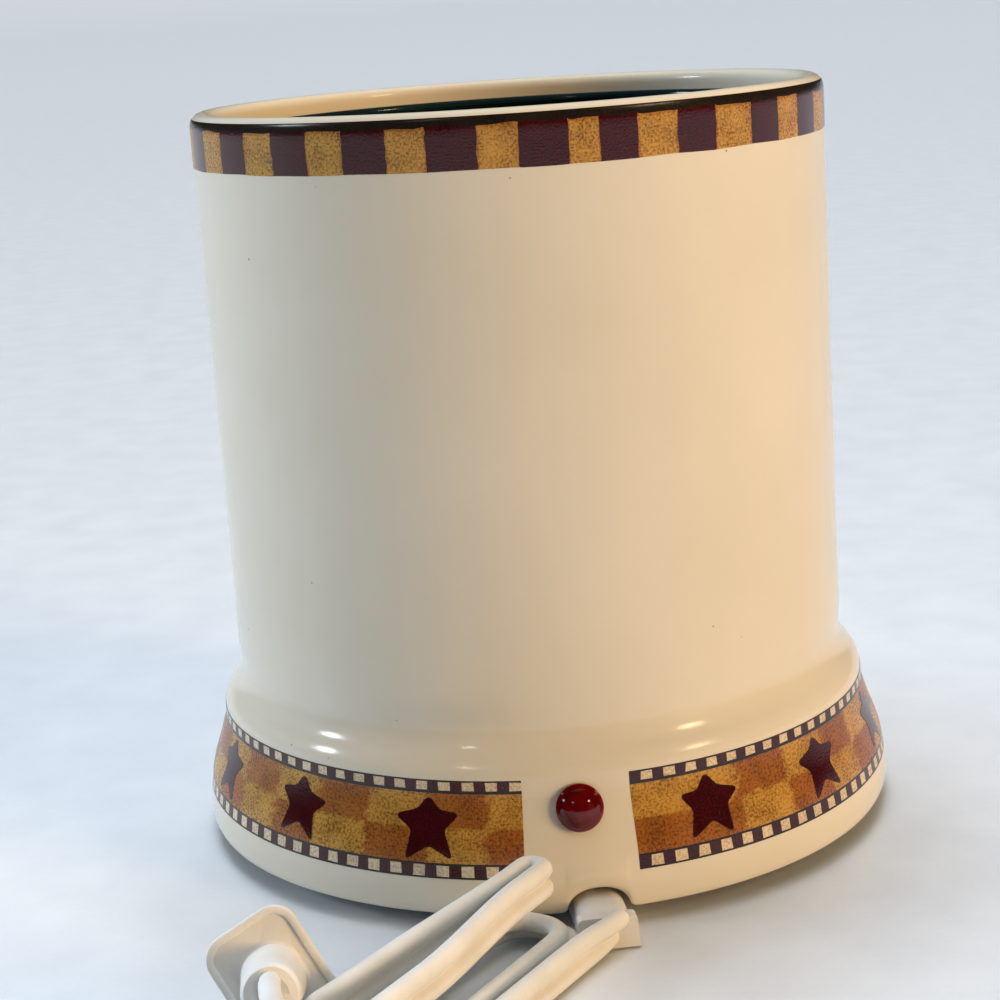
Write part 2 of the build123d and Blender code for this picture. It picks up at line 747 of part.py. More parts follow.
# The least gap of the hank to itself, measured between its upright centre lines on points
sample_step = 2.0
sample_count = int(hank_wire.length / sample_step)
samples = [hank_wire @ (index / sample_count) for index in range(sample_count + 1)]
skip = int(math.pi * cord_wide / sample_step) + 1
gaps = []
for index, here in enumerate(samples):
    for there in samples[index + skip:]:
        plan_gap = (here - there).cross(upright).length
        rise_gap = max(0, abs(here.Z - there.Z) - lobe_apart)
        gaps.append(math.hypot(plan_gap, rise_gap) - cord_wide)
least_gap = min(gaps)
print("least gap of the hank to itself", round(least_gap, 2))

# The lead from the strain relief's face to the hank, cut flush with that face
lead_start = (4.4, relief_face_y + 4.0, 4.2)
lead_route = [lead_start, tuple(on_hank(2.1, run_1_v, low_z)), tuple(on_hank(*hank_start))]
with BuildLine() as lead_path:
    FilletPolyline(*lead_route, radius=eased(lead_route))
with BuildPart() as cord_lead:
    add(flat_cord("cord_lead", Wire(lead_path.edges())))
    split(bisect_by=Plane(origin=(0, relief_face_y, 0), z_dir=(0, -1, 0)), keep=Keep.TOP)
write(cord_lead.part, "cord_lead")

# Plug: a flanged moulding with a tapered grip and two blades, propped on its flange and one blade
plug_centre = on_hank(50.9, 18.5, 13.9)
plug_tilt = 20.0
plug_roll = 28.0
plug_flange_short = 18.0
plug_flange_long = 23.0
plug_flange_thick = 3.0
plug_flange_round = 4.5
plug_rim_wide = 1.4
plug_rim_deep = 0.7
plug_edge_round = 0.4
grip_base_short = 10.4
grip_base_long = 11.6
grip_base_round = 4.6
grip_end_radius = 5.0
grip_long = 27.0
blade_long = 16.0
blade_thick = 1.5
blade_narrow = 6.3
blade_wide = 7.9
blade_apart = 12.7
blade_hole_radius = 1.6
blade_hole_back = 4.0
blade_tip_chamfer = 1.0
plug_lead_straight = 14.0

plug_axis = Vector(0, -math.cos(math.radians(plug_tilt)), math.sin(math.radians(plug_tilt)))
plug_rise = Vector(0, math.sin(math.radians(plug_tilt)), math.cos(math.radians(plug_tilt)))
plug_short = Vector(math.cos(math.radians(plug_roll)), 0, 0) + plug_rise * math.sin(math.radians(plug_roll))
plug_plane = Plane(origin=plug_centre, x_dir=plug_short, z_dir=plug_axis)

with BuildPart() as plug_body:
    with BuildSketch(plug_plane.offset(-plug_flange_thick)):
        RectangleRounded(plug_flange_short, plug_flange_long, plug_flange_round)
    extrude(amount=plug_flange_thick)
    fillet(plug_body.faces().sort_by(Axis(plug_centre, plug_axis))[0].edges(), plug_edge_round)
    with BuildSketch(plug_plane.offset(-plug_rim_deep)):
        RectangleRounded(
            plug_flange_short - plug_rim_wide * 2,
            plug_flange_long - plug_rim_wide * 2,
            plug_flange_round - plug_rim_wide,
        )
    extrude(amount=plug_rim_deep, mode=Mode.SUBTRACT)
    with BuildSketch(plug_plane.offset(-plug_rim_deep)):
        RectangleRounded(grip_base_short, grip_base_long, grip_base_round)
    with BuildSketch(plug_plane.offset(grip_long)):
        Circle(grip_end_radius)
    loft()
write(plug_body.part, "plug_body")

for name, blade_width, side in (("plug_blade_narrow", blade_narrow, -1), ("plug_blade_wide", blade_wide, 1)):
    blade_place = plug_centre + plug_short.cross(plug_axis) * (side * -blade_apart * half)
    blade_plane = Plane(origin=blade_place, x_dir=plug_short, z_dir=plug_axis)
    blade_hole_place = blade_place - plug_axis * (plug_flange_thick + blade_long - blade_hole_back)
    blade_side_plane = Plane(origin=blade_hole_place, x_dir=plug_short, z_dir=plug_short.cross(plug_axis))
    with BuildPart() as plug_blade:
        with BuildSketch(blade_plane.offset(-plug_flange_thick - blade_long)):
            Rectangle(blade_width, blade_thick)
        extrude(amount=blade_long)
        blade_tip = plug_blade.faces().sort_by(Axis(plug_centre, plug_axis))[0]
        chamfer(blade_tip.edges().sort_by(SortBy.LENGTH)[:2], blade_tip_chamfer, half * half)
        with BuildSketch(blade_side_plane.offset(-blade_thick)):
            Circle(blade_hole_radius)
        extrude(amount=blade_thick * 2, mode=Mode.SUBTRACT)
    write(plug_blade.part, name)

# The tail: off the hank's left side under the plug's grip, round on the table and back over to the grip
grip_end = plug_centre + plug_axis * grip_long
tail_route = [
    tuple(on_hank(*hank_end)),
    tuple(on_hank(47.1, run_7_far_v, 12.9)),
    tuple(on_hank(53.1, 28.4, 9.6)),
    tuple(on_hank(58.6, 26.6, 7.1)),
    tuple(on_hank(66.1, 25.2, 5.5)),
    tuple(on_hank(78.1, 23.8, 4.7)),
    tuple(on_hank(95.1, 23.0, 4.2)),
    tuple(on_hank(119.1, 24.5, 4.1)),
    tuple(on_hank(138.1, 34.0, 4.6)),
    tuple(on_hank(145.1, 52.0, 8.5)),
    tuple(on_hank(135.1, 68.0, 16.0)),
    tuple(on_hank(117.1, 70.0, 24.5)),
    tuple(on_hank(98.1, 59.0, 30.5)),
    tuple(grip_end + plug_axis * plug_lead_straight),
    tuple(grip_end),
]
with BuildLine() as tail_path:
    FilletPolyline(*tail_route, radius=eased(tail_route))
cord_tail = flat_cord("cord_tail", Wire(tail_path.edges()))
write(cord_tail, "cord_tail")

# Twist tie round the bound runs of the hank
tie_u = 81.1
tie_wide = 3.0
tie_thick = 0.5
tie_play = 0.4
tie_corner = 2.0
tie_twist_thick = 1.4
tie_twist_long = 12.0
tie_twist_turn = 35.0
tie_left = run_2_v - lobe_radius - tie_play
tie_right = run_1_v + lobe_radius + tie_play
tie_middle = (tie_left + tie_right) * half
tie_low = tie_thick + thread_gap
tie_high = far_high_z + cord_tall * half + tie_play * 2
tie_plane = Plane(origin=on_hank(tie_u, 0, 0), x_dir=hank_across, z_dir=hank_out)
with BuildPart() as cord_tie:
    with BuildSketch(tie_plane):
        with Locations((tie_middle, (tie_low + tie_high) * half)):
            RectangleRounded(
                tie_right - tie_left + tie_thick * 2,
                tie_high - tie_low + tie_thick * 2,
                tie_corner + tie_thick,
            )
            RectangleRounded(tie_right - tie_left, tie_high - tie_low, tie_corner, mode=Mode.SUBTRACT)
    extrude(amount=tie_wide)
    with BuildSketch(tie_plane.offset((tie_wide - tie_twist_thick) * half)):
        with Locations(Location((tie_middle, tie_high + tie_thick * half, 0), tie_twist_turn)):
            SlotOverall(tie_twist_long * 2, tie_twist_thick)
        with Locations((tie_middle, tie_high * half)):
            Rectangle(tie_right - tie_left, tie_high + tie_thick, mode=Mode.SUBTRACT)
    extrude(amount=tie_twist_thick)
write(cord_tie.part, "cord_tie")
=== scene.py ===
import bmesh
import bpy
import math
from mathutils import Matrix, Vector, noise


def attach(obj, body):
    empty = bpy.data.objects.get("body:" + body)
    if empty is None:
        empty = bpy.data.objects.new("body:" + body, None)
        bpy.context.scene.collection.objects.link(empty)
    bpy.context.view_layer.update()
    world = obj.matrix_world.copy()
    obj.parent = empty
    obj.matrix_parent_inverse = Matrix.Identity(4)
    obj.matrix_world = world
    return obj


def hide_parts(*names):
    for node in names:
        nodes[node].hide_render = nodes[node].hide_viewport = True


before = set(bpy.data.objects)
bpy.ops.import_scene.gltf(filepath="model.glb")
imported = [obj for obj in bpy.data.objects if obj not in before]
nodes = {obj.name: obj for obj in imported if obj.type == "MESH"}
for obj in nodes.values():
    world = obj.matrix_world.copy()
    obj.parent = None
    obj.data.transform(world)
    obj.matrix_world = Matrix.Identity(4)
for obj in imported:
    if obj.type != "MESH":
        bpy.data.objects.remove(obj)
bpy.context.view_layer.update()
scene = bpy.context.scene
scene.view_settings.view_transform = "Standard"

# Camera at the photograph's viewing angle. Sizes here are in millimetres, and Blender's own are in metres.
view = {
    "place": (-52.2, -465.7, 180.6), "ahead": (0.0942, 0.9687, -0.2297), "up": (0.0885, 0.2217, 0.9711),
    "lens": 77.36, "sensor": 36,
}

cameraData = bpy.data.cameras.new("photoCamera")
cameraData.lens = view["lens"]
cameraData.sensor_width = view["sensor"]
cameraData.clip_start = 0.02
camera = bpy.data.objects.new("photoCamera", cameraData)
scene.collection.objects.link(camera)
ahead = Vector(view["ahead"]).normalized()
across = ahead.cross(Vector(view["up"])).normalized()
upward = across.cross(ahead)
camera.matrix_world = Matrix((
    (across.x, upward.x, -ahead.x, view["place"][0] / 1000),
    (across.y, upward.y, -ahead.y, view["place"][1] / 1000),
    (across.z, upward.z, -ahead.z, view["place"][2] / 1000),
    (0, 0, 0, 1),
))
scene.camera = camera
print("camera set")


def colour(hexText):
    # sRGB hex to the linear values that shaders take
    parts = [int(hexText[i:i + 2], 16) / 255 for i in (1, 3, 5)]
    return [p / 12.92 if p <= 0.04045 else ((p + 0.055) / 1.055) ** 2.4 for p in parts] + [1]


def addNode(tree, kind, settings=None, links=None):
    node = tree.nodes.new(kind)
    for key, value in (settings or {}).items():
        if isinstance(key, int) or key in node.inputs:
            node.inputs[key].default_value = value
        else:
            setattr(node, key, value)
    for key, source in (links or {}).items():
        tree.links.new(source, node.inputs[key])
    return node


def newMaterial(name, shaderSettings):
    material = bpy.data.materials.new(name)
    material.use_nodes = True
    tree = material.node_tree
    shader = tree.nodes["Principled BSDF"]
    for key, value in shaderSettings.items():
        shader.inputs[key].default_value = value
    return material, tree, shader


def ramp(tree, source, stops):
    # colour ramp from (place, hex) pairs
    node = addNode(tree, "ShaderNodeValToRGB", links={0: source})
    elements = node.color_ramp.elements
    while len(elements) < len(stops):
        elements.new(0.5)
    for element, (place, hexText) in zip(elements, stops):
        element.position = place
        element.color = colour(hexText)
    return node


def mottledFinish(name, hexes, roughness, grainMm, bumpMm, settings=None, stretch=(1, 1, 1)):
    # moulded, cast or rolled surfaces: colour drifts a little, and a fine grain catches the light
    material, tree, shader = newMaterial(name, dict(settings or {}))
    place = addNode(tree, "ShaderNodeTexCoord")
    spread = addNode(tree, "ShaderNodeMapping", {"Scale": stretch}, {"Vector": place.outputs["Object"]})
    drift = addNode(tree, "ShaderNodeTexNoise", {"Scale": 1000 / (grainMm * 12), "Detail": 4},
                    {"Vector": spread.outputs[0]})
    grain = addNode(tree, "ShaderNodeTexNoise", {"Scale": 1000 / grainMm, "Detail": 3},
                    {"Vector": spread.outputs[0]})
    both = addNode(tree, "ShaderNodeMath", {"operation": "MULTIPLY_ADD", 1: 0.3},
                   {0: grain.outputs[0], 2: drift.outputs[0]})
    tint = ramp(tree, both.outputs[0], [(0.42, hexes[0]), (0.88, hexes[1])])
    tree.links.new(tint.outputs[0], shader.inputs["Base Color"])
    polish = addNode(tree, "ShaderNodeMapRange", {"To Min": roughness[0], "To Max": roughness[1]},
                     {0: drift.outputs[0]})
    tree.links.new(polish.outputs[0], shader.inputs["Roughness"])
    bump = addNode(tree, "ShaderNodeBump", {"Strength": 0.6, "Distance": bumpMm / 1000},
                   {"Height": grain.outputs[0]})
    tree.links.new(bump.outputs[0], shader.inputs["Normal"])
    return material


def creamGlaze():
    # slip-cast stoneware, dip glazed: glassy, gently wavy, with iron specks burnt through the cream
    material, tree, shader = newMaterial("creamGlazeStoneware", {"IOR": 1.5})
    place = addNode(tree, "ShaderNodeTexCoord")
    cloud = addNode(tree, "ShaderNodeTexNoise", {"Scale": 22, "Detail": 3},
                    {"Vector": place.outputs["Object"]})
    base = ramp(tree, cloud.outputs[0], [(0.3, "#ccc5b2"), (0.7, "#d3ccbb")])
    # specks: 0.3 mm, about one to each 7 mm cell, only in some of the cells
    cells = addNode(tree, "ShaderNodeTexVoronoi", {"Scale": 140}, {"Vector": place.outputs["Object"]})
    chosen = addNode(tree, "ShaderNodeSeparateColor", links={0: cells.outputs["Color"]})
    size = addNode(tree, "ShaderNodeMapRange", {1: 0.35, 2: 1.0, 3: 0.0, 4: 0.045}, {0: chosen.outputs[0]})
    near = addNode(tree, "ShaderNodeMath", {"operation": "SUBTRACT"},
                   {0: size.outputs[0], 1: cells.outputs["Distance"]})
    speck = addNode(tree, "ShaderNodeMapRange", {1: 0.0, 2: 0.02, 3: 0.0, 4: 0.75}, {0: near.outputs[0]})
    mixed = addNode(tree, "ShaderNodeMix", {"data_type": "RGBA", 7: colour("#6b5c48")},
                    {0: speck.outputs[0], 6: base.outputs[0]})
    tree.links.new(mixed.outputs[2], shader.inputs["Base Color"])
    wipe = addNode(tree, "ShaderNodeTexNoise", {"Scale": 60, "Detail": 6},
                   {"Vector": place.outputs["Object"]})
    polish = addNode(tree, "ShaderNodeMapRange", {1: 0.3, 2: 0.75, 3: 0.1, 4: 0.2}, {0: wipe.outputs[0]})
    tree.links.new(polish.outputs[0], shader.inputs["Roughness"])
    wave = addNode(tree, "ShaderNodeTexNoise", {"Scale": 75, "Detail": 2},
                   {"Vector": place.outputs["Object"]})
    bump = addNode(tree, "ShaderNodeBump", {"Strength": 0.5, "Distance": 0.00012},
                   {"Height": wave.outputs[0]})
    tree.links.new(bump.outputs[0], shader.inputs["Normal"])
    return material


def printedBurlap(name, lightHex, darkHex, rustLightHex, rustDarkHex, roughness):
    # transfer printed with a burlap weave and glazed over, its threads drawn as coarse as they need to show
    threadMm, weftShare = 0.55, 1.1  # the weft's threads lie a little further apart
    # at scale 1, Blender draws a band each 2 pi / 20 of a metre
    waveScale = 2 * math.pi / (20 * threadMm / 1000)
    material, tree, shader = newMaterial(name, {"IOR": 1.5})
    sheet = addNode(tree, "ShaderNodeUVMap", {"uv_map": "PrintMap"})
    threads = {"wave_type": "BANDS", "Distortion": 5, "Detail": 2, "Detail Scale": 0.6}
    warp = addNode(tree, "ShaderNodeTexWave", {**threads, "bands_direction": "X", "Scale": waveScale},
                   {"Vector": sheet.outputs[0]})
    weft = addNode(tree, "ShaderNodeTexWave", {**threads, "bands_direction": "Y", "Scale": waveScale / weftShare},
                   {"Vector": sheet.outputs[0]})
    weave = addNode(tree, "ShaderNodeMath", {"operation": "MULTIPLY"},
                    {0: warp.outputs[1], 1: weft.outputs[1]})
    slub = addNode(tree, "ShaderNodeTexNoise", {"Scale": 1000 / threadMm, "Detail": 3, "Roughness": 0.6},
                   {"Vector": sheet.outputs[0]})
    stain = addNode(tree, "ShaderNodeTexNoise", {"Scale": 1000 / 5, "Detail": 3},
                    {"Vector": sheet.outputs[0]})
    yarn = addNode(tree, "ShaderNodeMath", {"operation": "MULTIPLY_ADD", 1: 0.1},
                   {0: weave.outputs[0], 2: slub.outputs[0]})
    tone = addNode(tree, "ShaderNodeMath", {"operation": "MULTIPLY_ADD", 1: 0.45},
                   {0: stain.outputs[0], 2: yarn.outputs[0]})
    gold = ramp(tree, tone.outputs[0], [(0.56, darkHex), (0.86, lightHex)])
    rust = ramp(tree, tone.outputs[0], [(0.56, rustDarkHex), (0.86, rustLightHex)])
    patch = addNode(tree, "ShaderNodeAttribute", {"attribute_name": "rust"})
    mixed = addNode(tree, "ShaderNodeMix", {"data_type": "RGBA"},
                    {0: patch.outputs["Fac"], 6: gold.outputs[0], 7: rust.outputs[0]})
    tree.links.new(mixed.outputs[2], shader.inputs["Base Color"])
    polish = addNode(tree, "ShaderNodeMapRange", {3: roughness[0], 4: roughness[1]}, {0: slub.outputs[0]})
    tree.links.new(polish.outputs[0], shader.inputs["Roughness"])
    bump = addNode(tree, "ShaderNodeBump", {"Strength": 0.5, "Distance": 0.00006},
                   {"Height": yarn.outputs[0]})
    tree.links.new(bump.outputs[0], shader.inputs["Normal"])
    return material


finishes = {
    "glaze": creamGlaze(),
    "goldPrint": printedBurlap("goldBurlapPrint", "#b88c3c", "#70460f", "#94571f", "#5c3009", (0.2, 0.36)),
    "maroonPrint": printedBurlap("maroonBurlapPrint", "#3c070c", "#290509", "#3c070c", "#290509",
                                 (0.1, 0.18)),
    "squarePrint": printedBurlap("creamSquarePrint", "#d2c1a2", "#a8957a", "#d2c1a2", "#a8957a",
                                 (0.2, 0.35)),
    "linePrint": printedBurlap("darkLinePrint", "#241c14", "#120d0b", "#241c14", "#120d0b", (0.14, 0.3)),
    # spun steel cup, black enamelled: glassy, blue-black
    "cup": mottledFinish("blackEnamelledSteel", ("#0b1a1d", "#14272b"), (0.06, 0.16), 1.5, 0.01,
                         {"IOR": 1.5}),
    # extruded and moulded PVC: soft sheen, slightly dusty
    "cord": mottledFinish("whiteExtrudedPvc", ("#cfcec7", "#dcdbd6"), (0.3, 0.45), 0.8, 0.02,
                          {"IOR": 1.53}),
    "moulding": mottledFinish("whiteMouldedPvc", ("#cdccc6", "#dbdad6"), (0.28, 0.42), 1.0, 0.02,
                              {"IOR": 1.53}),
    "brass": mottledFinish("stampedBrass", ("#b08d4c", "#d8ba76"), (0.18, 0.34), 0.4, 0.01,
                           {"Metallic": 1.0}, (1, 1, 6)),
    "blackPlastic": mottledFinish("blackMouldedAbs", ("#161616", "#222222"), (0.4, 0.6), 0.5, 0.03,
                                  {"IOR": 1.54}),
    "rubber": mottledFinish("mouldedRubber", ("#1b1b1a", "#2b2a28"), (0.7, 0.9), 0.4, 0.04, {"IOR": 1.52}),
    "gasket": mottledFinish("pressedFibreGasket", ("#77736b", "#98948a"), (0.8, 0.95), 0.5, 0.08),
    "plate": mottledFinish("turnedAluminium", ("#b9babc", "#d0d1d3"), (0.25, 0.4), 0.3, 0.01,
                           {"Metallic": 1.0}),
    "mica": mottledFinish("splitMicaSheet", ("#8d8064", "#b7aa88"), (0.25, 0.5), 1.2, 0.03, {"IOR": 1.58}),
    "ribbon": mottledFinish("rolledResistanceRibbon", ("#6f6a62", "#8f8980"), (0.35, 0.5), 0.4, 0.01,
                            {"Metallic": 1.0}),
    "fibrePad": mottledFinish("glassFibrePad", ("#d2d0c8", "#efeee8"), (0.85, 0.98), 0.6, 0.15),
    "steel": mottledFinish("rolledSteelSheet", ("#8e8f90", "#b3b4b5"), (0.28, 0.45), 0.5, 0.01,
                           {"Metallic": 1.0}),
    "zinc": mottledFinish("zincPlatedSteel", ("#a3a49f", "#c6c7c2"), (0.22, 0.4), 0.4, 0.01,
                          {"Metallic": 1.0}),
    "bead": mottledFinish("firedSteatite", ("#dcd8cc", "#eeebe2"), (0.45, 0.6), 0.4, 0.02, {"IOR": 1.6}),
    "resistor": mottledFinish("lacqueredResistor", ("#8a5a34", "#ab7848"), (0.35, 0.5), 0.3, 0.02),
    "sleeve": mottledFinish("mouldedNylonSplice", ("#b9ad96", "#d4cab5"), (0.35, 0.5), 0.5, 0.02),
    "paper": mottledFinish("coatedTiePaper", ("#d8d7d0", "#f0efe9"), (0.6, 0.8), 0.5, 0.05),
}


def clearFinish(name, settings, cloudScale, hexes):
    # clear resin or glass, its tint a little uneven
    material, tree, shader = newMaterial(name, settings)
    place = addNode(tree, "ShaderNodeTexCoord")
    cloud = addNode(tree, "ShaderNodeTexNoise", {"Scale": cloudScale, "Detail": 2},
                    {"Vector": place.outputs["Object"]})
    tint = ramp(tree, cloud.outputs[0], [(0.3, hexes[0]), (0.7, hexes[1])])
    tree.links.new(tint.outputs[0], shader.inputs["Base Color"])
    return material


# moulded acrylic jewel: clear red, deeper where the resin is thick
finishes["lens"] = clearFinish(
    "redMouldedAcrylic", {"IOR": 1.49, "Transmission Weight": 0.75, "Roughness": 0.04}, 300,
    ("#8a0408", "#a3090e"),
)
# neon bulb's glass: thin and clear, smoked by its own electrodes
finishes["bulb"] = clearFinish(
    "blownBulbGlass", {"IOR": 1.5, "Transmission Weight": 0.9, "Roughness": 0.05}, 400,
    ("#cfc9bf", "#f0ece4"),
)
print("finishes made")


def newPiece(name, points, faces, materials, body="crock", faceMaterials=None, sharpAngle=40):
    # points are in millimetres
    mesh = bpy.data.meshes.new(name)
    mesh.from_pydata([[c / 1000 for c in p] for p in points], [], faces)
    for material in materials:
        mesh.materials.append(material)
    if faceMaterials:
        mesh.polygons.foreach_set("material_index", faceMaterials)
    mesh.polygons.foreach_set("use_smooth", [True] * len(faces))
    mesh.set_sharp_from_angle(angle=math.radians(sharpAngle))
    mesh.update()
    piece = bpy.data.objects.new(name, mesh)
    scene.collection.objects.link(piece)
    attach(piece, body)
    return piece


def smoothLine(points, steps):
    # soft line through the points
    line = []
    for i in range(len(points) - 1):
        a, b, c, d = points[max(i - 1, 0)], points[i], points[i + 1], points[min(i + 2, len(points) - 1)]
        for step in range(steps):
            t = step / steps
            line.append(tuple(
                0.5 * (2 * q + (r - p) * t + (2 * p - 5 * q + 4 * r - s) * t * t
                       + (3 * q - p - 3 * r + s) * t ** 3)
                for p, q, r, s in zip(a, b, c, d)
            ))
    line.append(tuple(points[-1]))
    return line


def gridFaces(rows, columns, closeRows=False, closeColumns=False):
    # faces between rows of points, closed into a ring either way
    faces = []
    for i in range(rows if closeRows else rows - 1):
        for j in range(columns if closeColumns else columns - 1):
            k, m = (i + 1) % rows, (j + 1) % columns
            faces.append((i * columns + j, i * columns + m, k * columns + m, k * columns + j))
    return faces


# Ceramic crock: its outline as (radius, height), up the outside and down the inside
crock = {
    "outside": [
        (76.25, 4.0), (76.7, 5.2), (76.88, 7.0), (76.8, 9.5), (76.35, 12.0), (75.8, 15.0), (74.85, 18.0),
        (73.75, 21.0), (72.8, 24.0), (72.0, 27.0), (71.8, 29.5), (71.45, 31.6), (70.35, 33.5), (69.1, 35.0),
        (68.15, 36.5), (67.5, 38.0), (67.22, 39.5), (67.3, 41.5), (67.6, 45.0), (67.6, 52.0), (67.5, 62.0),
        (67.5, 90.0), (67.5, 120.0), (67.5, 148.0), (67.5, 154.0), (67.48, 157.0), (67.15, 158.5),
    ],
    "lip": [
        (67.15, 158.5), (66.5, 159.35), (65.5, 159.78), (64.6, 159.72), (63.6, 159.15), (63.0, 158.0),
        (62.9, 156.6),
    ],
    "inside": [
        (62.9, 150.0), (62.9, 120.0), (62.9, 80.0), (62.9, 50.0), (62.9, 38.0), (62.3, 36.5), (61.2, 36.0),
        (54.0, 36.0), (52.5, 35.6), (52.0, 34.5), (52.0, 31.6), (52.6, 30.7), (54.0, 30.4), (64.5, 30.4),
        (66.0, 30.1), (67.0, 29.0), (67.3, 27.0), (68.4, 7.6), (68.6, 6.9), (70.5, 6.8), (70.9, 6.5),
        (70.9, 4.2), (71.2, 3.7), (71.8, 3.5), (75.0, 3.5), (75.7, 3.65),
    ],
    # the cord's notch is an arch in the skirt, whose lift fades out above it
    "notchHalfWidth": 6.4, "notchTop": 8.4, "notchFade": 15.0, "footZ": 3.5,
    "skirtRadius": 60, "archPower": 2.2,
    # its feet flare out: shares of the half width, and of the arch's height
    "flareReach": 1.25, "flareFrom": 0.9, "flareStart": 0.85, "flareWide": 0.35, "flareTall": 0.35,
    # points round the crock, in degrees: fine ones by the notch, wider ones on the rest
    "fineReach": 8, "fineStep": 0.2, "turnStep": 1.5,
}

outsideLine = smoothLine(crock["outside"], 4)
lipLine = smoothLine(crock["lip"], 3)
crockOutline = outsideLine[:-1] + lipLine + crock["inside"]


def shellRadius(z):
    # radius of the crock's outside at a height
    for line in (outsideLine, lipLine):
        for (r0, z0), (r1, z1) in zip(line, line[1:]):
            if z0 <= z <= z1:
                return r0 + (r1 - r0) * (z - z0) / (z1 - z0)
    return outsideLine[0][0]


def aroundAxis(radius, turn, z):
    # turn in degrees from the cord side towards +X
    return (radius * math.sin(math.radians(turn)), -radius * math.cos(math.radians(turn)), z)


fineCount = round(2 * crock["fineReach"] / crock["fineStep"])
wideCount = int((360 - 2 * crock["fineReach"]) / crock["turnStep"])
crockTurns = [-crock["fineReach"] + crock["fineStep"] * i for i in range(fineCount + 1)]
crockTurns += [crock["fineReach"] + crock["turnStep"] * i for i in range(1, wideCount)]


def notchLift(x, y):
    # height of the arch over the skirt's foot at this place
    t = abs(x) / crock["notchHalfWidth"]
    if y > 0 or t > crock["flareReach"]:
        return 0
    arch = math.sqrt(max(0.0, 1 - min(t, 1) ** crock["archPower"]))
    flare = 0
    if t > crock["flareFrom"]:
        flare = crock["flareTall"] * max(0.0, 1 - (t - crock["flareStart"]) / crock["flareWide"]) ** 2
    return (crock["notchTop"] - crock["footZ"]) * max(arch, flare)


crockPoints = []
for radius, height in crockOutline:
    for turn in crockTurns:
        x, y, z = aroundAxis(radius, turn, height)
        if z < crock["notchFade"] and radius > crock["skirtRadius"]:
            lift = notchLift(x, y)
            z += lift * (crock["notchFade"] - z) / (crock["notchFade"] - crock["footZ"])
        crockPoints.append((x, y, z))
crockPiece = newPiece("ceramicCrock", crockPoints, gridFaces(len(crockOutline), len(crockTurns), True, True),
                      [finishes["glaze"]], sharpAngle=50)
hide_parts("ceramic_shell")
print("crock turned")

# Printed transfers, laid a hair proud of the glaze
printBand = {"proud": 0.05, "starProud": 0.1, "mapRadius": 73.5}


def printPlace(turn, z, across=0):
    # place on the flat print, in metres
    return (math.radians(turn) * printBand["mapRadius"] / 1000 + across / 1000, z / 1000)


def setPrintMap(piece, uvs):
    layer = piece.data.uv_layers.new(name="PrintMap")
    for loop in piece.data.loops:
        layer.data[loop.index].uv = uvs[loop.vertex_index]


def laidSheet(name, turns, heights, materials, chooser, rustAt=None, shift=None):
    # sheet on the crock's outside: chooser(i, j) gives a face's finish, rustAt(i, j) the tint of a point
    points = []
    uvs = []
    for i, z in enumerate(heights):
        for j, turn in enumerate(turns):
            dt, dz = shift(i, j) if shift else (0, 0)
            points.append(aroundAxis(shellRadius(z + dz) + printBand["proud"], turn + dt, z + dz))
            uvs.append(printPlace(turn, z))
    faces = gridFaces(len(heights), len(turns))
    kinds = [chooser(f // (len(turns) - 1), f % (len(turns) - 1)) for f in range(len(faces))]
    piece = newPiece(name, points, faces, materials, "crock", kinds)
    setPrintMap(piece, uvs)
    tint = piece.data.attributes.new("rust", "FLOAT", "POINT")
    for i in range(len(heights)):
        for j in range(len(turns)):
            tint.data[i * len(turns) + j].value = rustAt(i, j) if rustAt else 0


def jitter(a, b, size):
    # small even wander, the same on each run
    return noise.noise(Vector((a * 1.37, b * 2.11, 4.2))) * size


# Rim band: hand-cut patches, gold and maroon in turn, under a dark line. The edges are in degrees, and the
# patches beyond them are even.
rimBand = {
    "edges": [
        -80.98, -72.42, -64.34, -56.5, -48.99, -41.21, -34.05, -26.3, -19.63, -11.38, -4.76, 3.13, 8.24,
        14.71, 21.93, 29.55, 37.83, 45.36, 52.37, 60.6, 69.27,
    ],
    "patches": 48, "shares": (0, 0.07, 0.3, 0.53, 0.76, 0.93), "lineRow": 7,
    "heights": [148.8, 149.4, 150.5, 152.0, 153.5, 155.0, 156.3, 157.05, 157.6, 158.1, 158.5, 158.75],
}
edgeTurns = list(rimBand["edges"])
restCount = rimBand["patches"] - (len(edgeTurns) - 1)
restStep = (360 + edgeTurns[0] - edgeTurns[-1]) / restCount
edgeTurns += [edgeTurns[-1] + restStep * (i + 1) for i in range(restCount)]
rimTurns = []
rimKinds = []
for patch in range(rimBand["patches"]):
    left, right = edgeTurns[patch], edgeTurns[patch + 1]
    rimTurns += [left + (right - left) * share for share in rimBand["shares"]]
    rimKinds += [patch % 2] * len(rimBand["shares"])
rimTurns.append(edgeTurns[-1])
perPatch = len(rimBand["shares"])
lineRow = rimBand["lineRow"]


def rimShift(i, j):
    # the cut edges wander sideways, and the band's two borders up and down
    sideways = jitter(j // perPatch + 3, i * 0.35, 0.28) if j % perPatch == 0 else 0
    if i == 0:
        return sideways, jitter(j * 0.11, 9, 0.25)
    if i == lineRow:
        return sideways, jitter(j * 0.31, 5, 0.45)
    return (sideways if i < lineRow else 0), 0


def rimKind(i, j):
    return 2 if i >= lineRow else rimKinds[j]


def rimRust(i, j):
    # the maroon dye bleeds a little into the gold at its edges
    if j % perPatch == 0 or i >= lineRow:
        return 0.75
    return 0.15 if i == lineRow - 1 else 0


laidSheet("rimBand", rimTurns, rimBand["heights"],
          [finishes["maroonPrint"], finishes["goldPrint"], finishes["linePrint"]], rimKind, rimRust, rimShift)
print("rim band laid")

